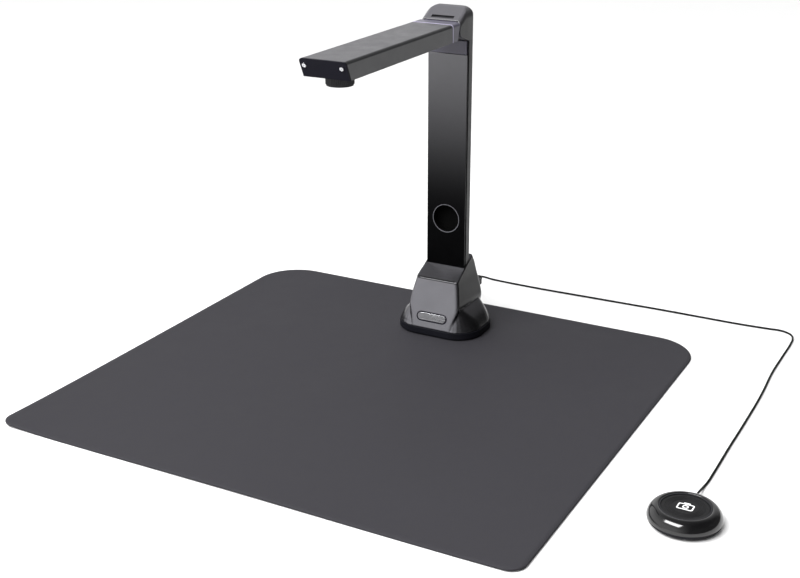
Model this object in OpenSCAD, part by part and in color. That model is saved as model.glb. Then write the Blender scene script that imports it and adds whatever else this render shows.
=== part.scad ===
// Folding document camera: a weighted base and a flat column carry an arm that folds down
// against the column. A lens with a focus ring looks down from the arm's end at a soft mat.
// A round trigger button lies beside the mat and plugs into the back of the base.
// Millimetres, +Z up. The origin is on the desk, under the column.
// The arm points to -Y, over the mat, and folds about an X axis near the column's top.

/* [Mat] */
// Width of the mat, left to right
mat_w = 552; // [440:1:600]
// Depth of the mat, front to back
mat_d = 507; // [430:1:560]
// Thickness of the mat
mat_t = 2; // [1.5:0.1:3]
// Radius of the mat's two back corners
mat_back_r = 50; // [10:1:60]
// Radius of the mat's two front corners
mat_front_r = 15; // [5:1:60]
// How far the mat reaches behind the column
mat_behind = 75.5; // [60:0.5:110]
// How far the mat lies off the middle, to the right
mat_shift = 1; // [-5:0.5:5]

/* [Base] */
// Width of the base at its foot
foot_w = 100; // [96:1:110]
// How far the foot reaches in front of the column
foot_front = 45.5; // [45:0.5:50]
// How far the foot reaches behind the column
foot_back = 32; // [31:0.5:40]
// Corner radius of the foot
foot_r = 30; // [24:1:34]
// Height of the black band around the foot
band_h = 9; // [8:0.5:10]
// Height of the base's top at its front edge, above the desk
base_front_h = 65.4; // [62:0.1:68]
// Wall of the moulded base shell
base_wall = 2.2; // [1.6:0.1:2.6]

/* [Column] */
// Width of the column
column_w = 47.6; // [46:0.2:49]
// Front face of the column, measured from the origin
column_front = -8.2; // [-8.6:0.1:-8]
// Back face of the column
column_back = 4.3; // [4.2:0.1:5]
// Thickness of the front panel
panel_t = 2.2; // [2:0.1:2.6]
// Height of the seam between the front panel and the seat plate above it
panel_top = 315.6; // [305:0.1:320]

/* [Hinge and arm] */
// Height of the hinge axis
hinge_z = 344.2; // [343.8:0.1:344.6]
// Place of the hinge axis, front to back
hinge_y = -18.1; // [-18.6:0.1:-17.9]
// Radius of the hinge pin
pin_r = 3; // [2.5:0.1:3.5]
// Width of the arm
arm_w = 49; // [47.6:0.2:52]
// Underside of the arm
arm_bottom = 334.7; // [334.5:0.1:335]
// Thickness of the arm
arm_t = 18.3; // [18:0.1:18.6]
// Reach of the arm from the hinge axis to its top end edge
arm_reach = 244.5; // [240:0.5:252]

/* [Lens] */
// Distance from the hinge axis to the lens axis
lens_reach = 212.9; // [205:0.1:214]
// Outer radius of the focus ring
ring_r = 13.5; // [13:0.1:14]
// How far the focus ring hangs below the arm
ring_drop = 10; // [8:0.1:10.2]
// Number of grooves in the focus ring
ring_grooves = 48; // [24:1:72]

/* [Trigger button] */
// Place of the button's middle, left to right
puck_x = 367.5; // [360:0.5:375]
// Place of the button's middle, front to back
puck_y = -293; // [-300:1:-285]
// Outer radius of the button's case
puck_r = 32; // [31:0.5:34]
// Height of the button's case
puck_h = 16.5; // [16:0.1:18]
// Radius of the disc that is pressed
disc_r = 20.4; // [19:0.1:21]
// Travel of the disc
press = 1.2; // [0.8:0.1:1.3]

/* [Cord] */
// Diameter of the trigger's cord
cord_d = 2.2; // [2:0.1:2.4]

/* [Hidden] */
$fn = 64;

eps = 0.01;
gap = 0.3;

// Heights in the base, from the mat up
pad_t = 1.6;
plate_z = mat_t + pad_t;
band_top = mat_t + band_h;
floor_t = 2.4;
floor_z = plate_z + floor_t;

// The base's flat front leans back and its top slopes up to the back
front_lean = 15.6;
base_front_y = -29.8;
base_top_slope = 27.2;
shell_tall = 100;
function front_y(z) = base_front_y - (base_front_h - z) * tan(front_lean);

// Levels of the base's upper body: height, half width, front, back,
// front corner across and along, back corner
body_levels = [
    [band_top, 25.4, front_y(band_top), 29, 5, 2.6, 5],
    [20, 26.8, front_y(20), 29, 5, 2.6, 5],
    [27, 28.8, front_y(27), 29, 5, 2.8, 5],
    [33, 30.4, front_y(33), 29, 5, 3, 6],
    [38, 30.8, front_y(38), 28.6, 5.5, 3, 6],
    [46, 29.7, front_y(46), 27.8, 6, 3, 6],
    [55, 28, front_y(55), 26.3, 6, 3, 6],
    [65.4, 25.9, front_y(65.4), 24, 6, 3, 5.5],
    [76, 25, front_y(76), 20, 5, 3, 4.5],
    [84, 24.8, front_y(84), 14.5, 4, 3, 3.5],
    [92, 24.7, front_y(92), 9, 3, 3, 3]
];
// Levels of the flared skirt round the base's foot
skirt_levels = [
    [band_top, foot_w / 2 - 0.6, 0.6 - foot_front, foot_back - 0.6, 29.4, 29.4, 29.4],
    [14, 48.2, -43.6, 30.2, 27.5, 27.5, 27.5],
    [18, 46.1, -42.4, 28.8, 25, 25, 25],
    [23.5, 42.3, -40.4, 27, 21, 21, 21],
    [29, 36.8, -37.8, 25, 15, 15, 15],
    [33.5, 31.8, -35.3, 23, 10, 10, 10],
    [38, 27, -32.8, 21, 7, 7, 7]
];

// Column
column_bottom = 14;
shell_top = 331;
side_wall = 1.6;
back_wall = 1.4;
reveal = 1.2;
frame_t = 1.5;
frame_w = column_w - 2 * side_wall - 0.6;
panel_w = column_w - 1.2;
seat_w = column_w - 3.6;
panel_back = column_front + panel_t;
shell_front = panel_back + reveal;
recess_z = hinge_z - lens_reach;
recess_r = ring_r + 2;
cup_wall = 0.8;
cup_back_y = column_back - back_wall - 0.2;
cup_floor_y = cup_back_y - 0.7;

// Hood over the hinge
lip_y = -24.6;
lip_z = 354.2;
crown_y = -3;
crown_z = 366;
crown_r = 6;
hood_edge_r = 5.5;
crown_corner_r = 12;
back_edge_r = 1.2;
cheek_t = 3.8;
cheek_in = column_w / 2 - cheek_t;
cheek_r = 9.2;
roof_z = 353.4;
hood_slope = atan((crown_z - lip_z) / (crown_y - lip_y));
slot_w = 26;
slot_h = 3;

// Arm
arm_top = arm_bottom + arm_t;
arm_end_y = hinge_y - arm_reach;
arm_slant = 24.7;
arm_edge_r = 3.5;
arm_wall = 1.8;
cap_t = 2.6;
knuckle_y = -45.6;
knuckle_back = -34.3;
knuckle_slant = 16.1;
tongue_w = 36.8;
tongue_r = 8.5;
cover_t = 1.8;
lens_y = hinge_y - lens_reach;

// Lens stack, measured down from the arm's underside
ring_bottom = arm_bottom - ring_drop;
cell_r = 8;
cell_wall = 1.4;
cell_seat = ring_bottom + 3.4;
holder_r = 9.6;
run_fit = 0.05;
holder_top = arm_bottom + 8.7;
board_t = 1.6;

// Sockets at the back of the base
board_z = 37.1;
socket_x = 13;
socket_z = board_z + board_t;
socket_h = 7;
socket_w = 14.4;
inlet_w = 12;
inlet_h = 10.8;
rear_face = 27.2;
plug_z = socket_z + socket_h / 2;
plug_y0 = 29;
plug_len = 17.5;
relief_len = 8;

// Badge on the base's front
badge_w = 37.6;
badge_h = 11.2;
badge_z = 24;

// Trigger button, from the desk up
puck_pad_t = 1;
puck_base_top = 4.5;
puck_board_z = 6.1;
board_top = puck_board_z + 1.2;
disc_top = puck_h - 0.8;
disc_t = 2.4;
well_r = 22.4;
crest_r = well_r + 1;
belly_z = 7;
foot_in = 4.5;
case_wall = 2;
spring_turns = 3;
spring_steps = 14;
gland_z = 6.5;
gland_in = 26.5;
gland_out = 37;
gland_turn = 2;
gland_dir = [-sin(gland_turn), cos(gland_turn), 0];

// Route of the trigger's cord: out of the plug, down to the desk behind the base,
// along behind the mat, and forward beside it to the button
cord_r = cord_d / 2;
cord_sides = 8;
cord_end = [puck_x, puck_y, gland_z] + gland_out * gland_dir;
cord_route = [
    [13, 54.5, 42.2], [12.6, 60.5, 41.6], [11, 66.5, 39.3], [8, 72.5, 35], [4, 78.5, 29],
    [0, 85, 22], [-4, 92, 15], [-9, 99, 8.5], [-15, 107, 3.8], [-22, 116, 1.7],
    [-29, 125, 1.2], [-35, 133, 1.2], [-39, 140, 1.2], [-41, 146, 1.2], [-41, 152, 1.2],
    [-38, 157, 1.2], [-32, 159, 1.2], [-24, 158, 1.2], [-14, 156, 1.2], [0, 155, 1.2],
    [30, 154, 1.2], [66, 154, 1.2], [108, 155, 1.2], [157, 156, 1.2], [203, 157, 1.2],
    [250, 157, 1.2], [295, 157, 1.2], [330, 159, 1.2], [343, 160, 1.2], [352, 157, 1.2],
    [358, 151, 1.2], [361, 142, 1.2], [362, 130, 1.2], [362, 88, 1.2], [362, 44, 1.2],
    [364, 12, 1.2], [365, -18, 1.2], [366, -58, 1.2], [366, -91, 1.2], [365, -115, 1.2],
    [366, -145, 1.2], [366.5, -173, 1.2], [366.5, -200, 1.2],
    cord_end + [0.2, 38, 1.2 - gland_z], cord_end + [-0.6, 27, 1.5 - gland_z],
    cord_end + 19 * gland_dir - [0, 0, 4], cord_end + 12 * gland_dir - [0, 0, 2],
    cord_end + 6 * gland_dir - [0, 0, 0.5], cord_end
];

// ---- Shared shapes ----

// Rectangle with true round corners, centred
module round_rect(w, d, r) {
    square([w - 2 * r, d], center = true);
    square([w, d - 2 * r], center = true);
    for (x = [-1, 1], y = [-1, 1])
        translate([x * (w / 2 - r), y * (d / 2 - r)]) circle(r);
}

// Upright plate with round corners, from height z0 to z1
module round_plate(w, d, r, z0, z1) {
    translate([0, 0, z0]) linear_extrude(z1 - z0) round_rect(w, d, r);
}

// Box between two opposite corners
module box(low, high) {
    translate(low) cube(high - low);
}

// Upright cylinder from height z0 to z1
module post(r, z0, z1) {
    translate([0, 0, z0]) cylinder(h = z1 - z0, r = r);
}

// Cylinder along X, centred on the hinge axis
module hinge_rod(r, x0, x1) {
    translate([x0, hinge_y, hinge_z]) rotate([0, 90, 0]) cylinder(h = x1 - x0, r = r);
}

// Cylinder along Y through the middle of the lens recess
module recess_rod(r, y0, y1) {
    translate([0, y0, recess_z]) rotate([-90, 0, 0]) cylinder(h = y1 - y0, r = r);
}

// A profile drawn as [y, z] and pulled out along X between x0 and x1
module along_x(x0, x1) {
    translate([x0, 0, 0]) rotate([90, 0, 90]) linear_extrude(x1 - x0) children();
}

// A profile drawn as [x, z] and pulled out along Y between y0 and y1
module along_y(y0, y1) {
    translate([0, y1, 0]) rotate([90, 0, 0]) linear_extrude(y1 - y0) children();
}

// One level of a loft, as a ring of points; its front corners may be flatter than round
corner_steps = 5;
function ring_points(l, inset) = [
    for (q = [0:3], i = [0:corner_steps])
        let (a = 90 * (q + i / corner_steps),
             side = (q == 0 || q == 3) ? 1 : -1,
             rx = (q < 2 ? l[6] : l[4]) - inset,
             ry = (q < 2 ? l[6] : l[5]) - inset,
             cy = q < 2 ? l[3] - l[6] : l[2] + l[5],
             cx = l[1] - (q < 2 ? l[6] : l[4]))
        [side * cx + rx * cos(a), cy + ry * sin(a), l[0]]
];

// Smooth shell through a stack of levels, shrunk by inset on its sides
module loft(levels, inset = 0) {
    rings = [for (l = levels) ring_points(l, inset)];
    n = len(rings[0]);
    m = len(rings);
    points = [for (ring = rings) for (p = ring) p];
    sides = [for (j = [0:m - 2], i = [0:n - 1])
        let (k = (i + 1) % n)
        for (t = [[j * n + i, (j + 1) * n + i, (j + 1) * n + k],
                  [j * n + i, (j + 1) * n + k, j * n + k]]) t];
    polyhedron(points, concat(
        [[for (i = [0:n - 1]) i]],
        sides,
        [[for (i = [n - 1:-1:0]) (m - 1) * n + i]]));
}

// Everything above the base's sloping top, lowered by drop
module above_base(drop = 0) {
    translate([0, base_front_y, base_front_h - drop])
        rotate([base_top_slope, 0, 0])
            translate([-foot_w, -foot_w, 0]) cube([2 * foot_w, 3 * foot_w, shell_tall]);
}

// The base's outer form, or the space inside it
module base_form(inset = 0) {
    difference() {
        union() {
            loft(body_levels, inset);
            loft(skirt_levels, inset);
        }
        above_base(inset);
    }
}

// Four screw places in the base, under its moulded bosses
module at_base_screws() {
    for (x = [-30, 30], y = [-22, 16]) translate([x, y, 0]) children();
}

// Two bolt places under the column
module at_column_bolts() {
    for (x = [-13, 13]) translate([x, (column_back + shell_front) / 2, 0]) children();
}

// ---- Mat and base ----

// Outline of the mat about its middle, with larger corners at the back
module mat_outline() {
    w = mat_w / 2;
    d = mat_d / 2;
    back = mat_back_r;
    front = mat_front_r;
    translate([-w, front - d]) square([2 * w, 2 * d - front - back]);
    translate([front - w, -d]) square([2 * (w - front), 2 * front]);
    translate([back - w, d - 2 * back]) square([2 * (w - back), 2 * back]);
    for (s = [-1, 1]) {
        translate([s * (w - front), front - d]) circle(front);
        translate([s * (w - back), d - back]) circle(back);
    }
}

module document_mat() {
    color([0.16, 0.16, 0.18]) translate([mat_shift, mat_behind - mat_d / 2, 0])
        linear_extrude(mat_t) mat_outline();
}

// Plate with the foot's outline, shrunk by inset, from height z0 to z1
module foot_plate(inset, z0, z1) {
    translate([0, (foot_back - foot_front) / 2, 0])
        round_plate(foot_w - 2 * inset, foot_front + foot_back - 2 * inset, foot_r - inset, z0, z1);
}

module foot_pad() {
    color([0.05, 0.05, 0.05]) foot_plate(2.5, mat_t, plate_z);
}

module base_plate() {
    color([0.03, 0.03, 0.03]) difference() {
        union() {
            difference() {
                foot_plate(0, plate_z, band_top);
                foot_plate(4, floor_z, band_top + eps);
            }
            for (x = [-18, 18]) translate([x, 13, 0]) post(2.5, floor_z - eps, board_z);
        }
        at_base_screws() {
            post(1.8, plate_z - eps, floor_z + eps);
            post(3.2, plate_z - eps, plate_z + 1.2);
        }
        at_column_bolts() {
            post(2.3, plate_z - eps, floor_z + eps);
            post(4, plate_z - eps, plate_z + 1.4);
        }
    }
}

// Frame of the badge, on the leaning front face of the base
module on_badge_face() {
    translate([0, front_y(badge_z), badge_z]) rotate([90 - front_lean, 0, 0]) children();
}

module pill(w, h, t) {
    linear_extrude(t) round_rect(w, h, h / 2 - eps);
}

module base_shell() {
    boss_r = 4.2;
    color([0.27, 0.27, 0.29]) difference() {
        union() {
            difference() {
                base_form();
                translate([0, 0, -eps]) base_form(base_wall);
            }
            intersection() {
                base_form();
                at_base_screws() post(boss_r, floor_z + 0.2, 80);
            }
        }
        box([-column_w / 2 - 0.2, column_front - 0.2, band_top],
            [column_w / 2 + 0.2, column_back + 0.2, shell_tall]);
        at_base_screws() post(1.5, floor_z, 23);
        on_badge_face() translate([0, 0, -5]) pill(badge_w + 0.2, badge_h + 0.2, 10);
        box([socket_x - socket_w / 2 - 0.3, 20, socket_z - 0.3],
            [socket_x + socket_w / 2 + 0.3, 40, socket_z + socket_h + 0.3]);
        box([-socket_x - inlet_w / 2 - 0.3, 20, socket_z - 0.3],
            [-socket_x + inlet_w / 2 + 0.3, 40, socket_z + inlet_h + 0.3]);
    }
}

// Socket-head screw, head down
module screw_up(head_r, head_t, shank_r, z0, z1) {
    difference() {
        union() {
            post(head_r, z0, z0 + head_t);
            post(shank_r, z0 + head_t - eps, z1);
        }
        translate([0, 0, z0 - eps]) cylinder(h = head_t * 0.6, r = head_r * 0.5, $fn = 6);
    }
}

module base_screws() {
    color([0.6, 0.6, 0.62]) at_base_screws() screw_up(3, 1.1, 1.4, plate_z + 0.05, 21);
}

module ballast_blocks() {
    color([0.35, 0.35, 0.36]) {
        box([-23, -35, floor_z + 0.1], [23, -14, 34]);
        box([-14, 9, floor_z + 0.1], [14, 23, 32]);
    }
}

module column_socket() {
    color([0.5, 0.5, 0.52]) difference() {
        box([-26, -12, floor_z], [26, 8, column_bottom]);
        at_column_bolts() post(2.3, floor_z - eps, column_bottom + eps);
    }
}

module column_foot_block() {
    color([0.7, 0.7, 0.72]) difference() {
        box([-19, panel_back + frame_t + 0.2, column_bottom],
            [19, column_back - back_wall - 0.3, 34]);
        at_column_bolts() post(2, column_bottom - eps, 30);
    }
}

module column_bolts() {
    color([0.6, 0.6, 0.62]) at_column_bolts() screw_up(3.8, 1.3, 1.95, plate_z + 0.05, 28);
}

module base_board() {
    color([0.05, 0.3, 0.15]) difference() {
        box([-22, 8.5, board_z], [22, 24, board_z + board_t]);
        for (x = [-18, 18]) translate([x, 13, 0]) post(1.2, board_z - eps, board_z + 2);
    }
}

module usb_socket() {
    color([0.75, 0.75, 0.77]) difference() {
        box([socket_x - socket_w / 2, 14, socket_z],
            [socket_x + socket_w / 2, rear_face, socket_z + socket_h]);
        box([socket_x - 6.3, 18, plug_z - 2.6], [socket_x + 6.3, rear_face + 1, plug_z + 2.6]);
    }
}

module data_inlet() {
    color([0.75, 0.75, 0.77]) difference() {
        box([-socket_x - inlet_w / 2, 13, socket_z],
            [-socket_x + inlet_w / 2, rear_face, socket_z + inlet_h]);
        box([-socket_x - 4.4, 18, socket_z + 1.2],
            [-socket_x + 4.4, rear_face + 1, socket_z + inlet_h - 1.4]);
    }
}

module badge_bezel() {
    color([0.02, 0.02, 0.02]) on_badge_face() difference() {
        translate([0, 0, -1.4]) pill(badge_w, badge_h, 1.9);
        translate([0, 0, -0.4]) pill(badge_w - 2.4, badge_h - 2.4, 2);
    }
}

module front_badge() {
    color([0.55, 0.55, 0.57]) on_badge_face()
        translate([0, 0, -0.35]) pill(badge_w - 2.8, badge_h - 2.8, 1.2);
}

// ---- Column ----

// Side view of the hood over the hinge, as [y, z]
module hood_side() {
    difference() {
        union() {
            translate([hinge_y, hinge_z]) circle(cheek_r);
            translate([column_back - crown_r, crown_z - crown_r]) circle(crown_r);
            polygon([[column_back, shell_top - 5], [column_back, crown_z - crown_r],
                     [column_back - crown_r, crown_z], [crown_y, crown_z], [lip_y, lip_z],
                     [lip_y - 1.2, lip_z - 2.2], [lip_y - 2.3, lip_z - 6],
                     [hinge_y - cheek_r + 0.2, hinge_z - 1], [hinge_y, hinge_z],
                     [hinge_y, hinge_z - cheek_r], [-6.4, shell_top - 0.2],
                     [shell_front, shell_top - 0.6], [shell_front, shell_top - 5]]);
        }
        // softened front edge of the crown
        translate([crown_y, crown_z]) rotate(hood_slope / 2) translate([-5, -0.7]) square([10, 5]);
    }
}

// Front view of the hood, as [x, z], with round upper edges
module hood_front() {
    translate([-column_w / 2, shell_top - 10])
        square([column_w, crown_z - shell_top + 10 - crown_corner_r]);
    translate([0, shell_top]) round_rect(column_w, 2 * (crown_z - shell_top), crown_corner_r);
}

// Everything under the hood's slope, with the same round edges along it
module under_slope() {
    translate([0, lip_y, lip_z]) rotate([90 + hood_slope, 0, 0]) translate([0, -60, -60])
        linear_extrude(120) round_rect(column_w, 120, hood_edge_r);
}

// Column outline with softened back edges, from y0 to the back and from height z0 to z1
module back_plan(y0, z0, z1) {
    translate([0, 0, z0]) linear_extrude(z1 - z0) {
        translate([-column_w / 2, y0]) square([column_w, column_back - back_edge_r - y0]);
        translate([0, column_back - 4]) round_rect(column_w, 8, back_edge_r);
    }
}

module column_shell() {
    color([0.38, 0.38, 0.40]) difference() {
        union() {
            back_plan(shell_front, column_bottom, shell_top - 4);
            intersection() {
                back_plan(-60, shell_top - 6, crown_z + 1);
                along_x(-column_w / 2, column_w / 2) hood_side();
                along_y(-60, 20) hood_front();
                under_slope();
            }
        }
        // inside of the channel
        box([-column_w / 2 + side_wall, shell_front - eps, column_bottom - eps],
            [column_w / 2 - side_wall, column_back - back_wall, shell_top]);
        // space for the arm's tongue
        along_x(-cheek_in, cheek_in) {
            translate([hinge_y, hinge_z]) circle(tongue_r + 0.7);
            translate([-50, shell_top - 6]) square([50 + hinge_y, roof_z - shell_top + 6]);
            translate([hinge_y, shell_top - 6])
                square([tongue_r + 0.7, hinge_z - shell_top + 6]);
        }
        // wiring space behind the tongue
        box([-cheek_in + 2, -7.5, shell_top - eps], [cheek_in - 2, column_back - back_wall, 352]);
        // blind bores for the bushes
        hinge_rod(5, -cheek_in - 2.6, cheek_in + 2.6);
        // slot in the sloping front
        translate([0, lip_y + 3.8, lip_z + 3.8 * tan(hood_slope)]) rotate([hood_slope, 0, 0])
            box([-slot_w / 2, -slot_h / 2, -4], [slot_w / 2, slot_h / 2, 2]);
    }
}

module column_frame() {
    color([0.08, 0.08, 0.08]) difference() {
        box([-frame_w / 2, panel_back + 0.05, column_bottom],
            [frame_w / 2, column_back - back_wall - 0.1, shell_top - 1]);
        box([-frame_w / 2 + frame_t, panel_back + frame_t, column_bottom - eps],
            [frame_w / 2 - frame_t, column_back, shell_top]);
        recess_rod(recess_r + cup_wall + 0.3, column_front, 0);
    }
}

module column_front_panel() {
    color([0.05, 0.05, 0.06]) difference() {
        translate([0, 0, column_bottom]) linear_extrude(panel_top - column_bottom - 0.15)
            translate([0, (column_front + panel_back) / 2]) round_rect(panel_w, panel_t, 0.6);
        recess_rod(recess_r + cup_wall + 0.05, column_front - 1, panel_back + 1);
    }
}

module hinge_seat_plate() {
    color([0.30, 0.29, 0.33])
        translate([0, 0, panel_top + 0.15]) linear_extrude(shell_top - panel_top - 1)
            translate([0, (column_front + panel_back) / 2]) round_rect(seat_w, panel_t, 0.6);
}

module lens_recess_cup() {
    color([0.02, 0.02, 0.02]) difference() {
        recess_rod(recess_r + cup_wall, column_front + 0.1, cup_back_y);
        recess_rod(recess_r, column_front - 1, cup_floor_y);
    }
}

// Flat cable that runs up one side of the column, past the recess
module column_cable() {
    color([0.75, 0.5, 0.2]) box([17, -1.2, 36], [20, -0.4, shell_top - 1.5]);
}

// ---- Hinge ----

module hinge_pin() {
    color([0.72, 0.72, 0.74]) hinge_rod(pin_r, -cheek_in - 2.4, cheek_in + 2.4);
}

module hinge_bushes() {
    color([0.7, 0.5, 0.25]) for (s = [-1, 1]) difference() {
        hinge_rod(5, min(s * cheek_in, s * (cheek_in + 2.6)),
                  max(s * cheek_in, s * (cheek_in + 2.6)));
        hinge_rod(pin_r, -30, 30);
    }
}

module friction_washers() {
    inner = tongue_w / 2 + 0.15;
    color([0.55, 0.55, 0.5]) for (s = [-1, 1]) difference() {
        hinge_rod(7, min(s * inner, s * (cheek_in - 0.05)), max(s * inner, s * (cheek_in - 0.05)));
        hinge_rod(pin_r, -30, 30);
    }
}

// ---- Arm ----

// Cross-section of the arm as [x, z], with round upper edges
module arm_section(inset = 0) {
    w = arm_w - 2 * inset;
    r = arm_edge_r - inset;
    top = arm_top - inset;
    translate([-w / 2, arm_bottom]) square([w, top - arm_bottom - r]);
    translate([-w / 2 + r, arm_bottom]) square([w - 2 * r, top - arm_bottom]);
    for (x = [-1, 1]) translate([x * (w / 2 - r), top - r]) circle(r);
}

// Everything in front of the arm's slanting end, moved back by back
module beyond_end(back = 0) {
    translate([-arm_w, arm_end_y + back, arm_top]) rotate([arm_slant, 0, 0])
        translate([0, -60, -60]) cube([2 * arm_w, 60, 120]);
}

module arm_knuckle() {
    color([0.33, 0.32, 0.37]) difference() {
        union() {
            difference() {
                along_y(knuckle_y, -25) arm_section();
                translate([-arm_w, knuckle_back, arm_bottom]) rotate([-knuckle_slant, 0, 0])
                    translate([0, 0, -10]) cube([2 * arm_w, 40, 60]);
                box([-arm_w / 2 + 4, knuckle_y - eps, arm_bottom + 3],
                    [arm_w / 2 - 4, knuckle_y + 6, arm_top - 4]);
            }
            along_x(-tongue_w / 2, tongue_w / 2) {
                translate([hinge_y, hinge_z]) circle(tongue_r);
                translate([knuckle_back - 2, hinge_z - tongue_r])
                    square([hinge_y - knuckle_back + 2, 2 * tongue_r]);
            }
        }
        hinge_rod(pin_r + run_fit, -30, 30);
        box([-7, knuckle_y - eps, hinge_z - 1], [7, hinge_y - 6, hinge_z + 3]);
    }
}

module arm_shell() {
    color([0.42, 0.42, 0.43]) difference() {
        along_y(arm_end_y - 5, knuckle_y - 0.15) arm_section();
        along_y(arm_end_y - 6, knuckle_y + 1) arm_section(arm_wall);
        beyond_end(cap_t + 0.1);
    }
}

module arm_bottom_cover() {
    color([0.14, 0.14, 0.15]) difference() {
        box([-arm_w / 2 + arm_wall + 0.1, arm_end_y, arm_bottom],
            [arm_w / 2 - arm_wall - 0.1, knuckle_y - 0.15, arm_bottom + cover_t]);
        beyond_end(cap_t + 0.1);
        translate([0, lens_y, 0]) post(holder_r + 0.3, arm_bottom - eps, arm_top);
        at_cover_screws() {
            post(1.3, arm_bottom - eps, arm_top);
            post(2.2, arm_bottom - eps, arm_bottom + 0.9);
        }
    }
}

module at_cover_screws() {
    for (x = [-19, 19], y = [knuckle_y - 12, (knuckle_y + lens_y) / 2, lens_y - 16])
        translate([x, y, 0]) children();
}

module cover_screws() {
    color([0.15, 0.15, 0.15]) at_cover_screws()
        screw_up(2.1, 0.8, 1.2, arm_bottom + 0.05, arm_bottom + 6);
}

module arm_end_cap() {
    color([0.03, 0.03, 0.04]) difference() {
        along_y(arm_end_y - 1, arm_end_y + 16) arm_section();
        beyond_end();
        translate([-arm_w, arm_end_y + cap_t, arm_top]) rotate([arm_slant, 0, 0])
            translate([0, 0, -60]) cube([2 * arm_w, 60, 120]);
        at_cap_screws() translate([0, 0, -10]) cylinder(h = 20, r = 1.3);
    }
}

// Screw places on the slanting end, with +Z pointing out of it
module at_cap_screws() {
    for (x = [-19.6, 19.6])
        translate([x, arm_end_y + 6.2 * tan(arm_slant), arm_top - 6.2])
            rotate([90 + arm_slant, 0, 0]) children();
}

module end_cap_screws() {
    color([0.85, 0.85, 0.87]) at_cap_screws() difference() {
        union() {
            cylinder(h = 1.3, r = 2);
            translate([0, 0, -6]) cylinder(h = 6 + eps, r = 1.2);
        }
        translate([0, 0, 0.4]) cylinder(h = 2, r = 1.1, $fn = 6);
    }
}

// ---- Camera ----

module lens_holder() {
    half = 13;
    color([0.05, 0.05, 0.05]) translate([0, lens_y, 0]) difference() {
        union() {
            post(holder_r, cell_seat + 0.9, holder_top);
            box([-half, -half, arm_bottom + cover_t + 0.1], [half, half, holder_top]);
        }
        post(cell_r + run_fit, ring_bottom, holder_top - 3.2);
        box([-8.5, -8.5, holder_top - 3.3], [8.5, 8.5, holder_top + 1]);
    }
}

module camera_board() {
    color([0.05, 0.3, 0.15]) translate([0, lens_y, 0])
        box([-17, -17, holder_top], [17, 17, holder_top + board_t]);
}

module image_sensor() {
    color([0.25, 0.25, 0.3]) translate([0, lens_y, 0])
        box([-5.5, -5, holder_top - 1.2], [5.5, 5, holder_top]);
}

module arm_ribbon() {
    color([0.75, 0.5, 0.2])
        box([-6, lens_y + 17.5, holder_top + 0.6], [6, knuckle_y + 5, holder_top + 1]);
}

module focus_ring() {
    groove = 0.45;
    rim = [for (i = [0:2 * ring_grooves - 1])
        let (a = 180 * i / ring_grooves, r = ring_r - (i % 2) * groove)
        [r * cos(a), r * sin(a)]];
    color([0.08, 0.08, 0.09]) translate([0, lens_y, 0]) difference() {
        union() {
            translate([0, 0, ring_bottom + 1.4])
                linear_extrude(arm_bottom - ring_bottom - 2.6) polygon(rim);
            post(ring_r - 0.7, ring_bottom, arm_bottom - gap);
        }
        post(holder_r + 0.3, cell_seat - eps, arm_bottom + 1);
        post(12, ring_bottom - 1, cell_seat);
    }
}

module lens_cell() {
    color([0.04, 0.04, 0.04]) translate([0, lens_y, 0]) difference() {
        union() {
            post(cell_r, cell_seat - 2, holder_top - 3.6);
            post(12, cell_seat - 2, cell_seat);
        }
        post(cell_r - cell_wall, cell_seat - 3, holder_top);
        translate([0, 0, cell_seat - 2 - eps])
            cylinder(h = 1.2, r1 = cell_r - cell_wall + 2.6, r2 = cell_r - cell_wall);
    }
}

// Plano-convex lens with its dome pointing down
module lens(r, z, dome, t) {
    big = (r * r + dome * dome) / (2 * dome);
    translate([0, lens_y, z]) rotate_extrude() intersection() {
        union() {
            translate([0, dome]) square([r, t]);
            translate([0, big]) circle(big, $fn = 128);
        }
        square([r, dome + t]);
    }
}

module front_lens() {
    color([0.3, 0.35, 0.5, 0.6]) lens(cell_r - cell_wall, cell_seat - 0.6, 1.4, 1.6);
}

module rear_lens() {
    color([0.3, 0.35, 0.5, 0.6]) lens(cell_r - cell_wall, arm_bottom, 1, 1.6);
}

// ---- Trigger button ----

module at_puck() {
    translate([puck_x, puck_y, 0]) children();
}

module puck_pad() {
    color([0.05, 0.05, 0.05]) at_puck() post(puck_r - 6, 0, puck_pad_t);
}

module at_puck_screws() {
    for (a = [30, 150, 270]) rotate(a) translate([13, 0, 0]) children();
}

module puck_base() {
    floor_top = puck_pad_t + 1.8;
    color([0.04, 0.04, 0.04]) at_puck() difference() {
        union() {
            difference() {
                union() {
                    post(puck_r - foot_in - 0.3, puck_pad_t, floor_top);
                    post(puck_r - foot_in - 1.3, puck_pad_t, puck_base_top);
                }
                post(puck_r - foot_in - 3, floor_top, puck_base_top + 1);
            }
            at_puck_screws() post(2.6, floor_top - eps, puck_board_z);
        }
        at_puck_screws() post(1.05, floor_top + 0.6, puck_board_z + 1);
    }
}

// Half section of the case as [radius, height]: a fat rounded ring round a shallow well
function shoulder(inset) = [
    for (a = [90:-9:9])
        [crest_r + (puck_r - crest_r - inset) * cos(a),
         belly_z + (puck_h - belly_z - inset) * pow(sin(a), 1.3)]
];
function belly(inset) = [
    for (a = [0:-15:-90])
        [puck_r - foot_in + (foot_in - inset) * cos(a),
         belly_z + (belly_z - 1.4 - inset) * sin(a)]
];
function reversed(list) = [for (i = [len(list) - 1:-1:0]) list[i]];

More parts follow.
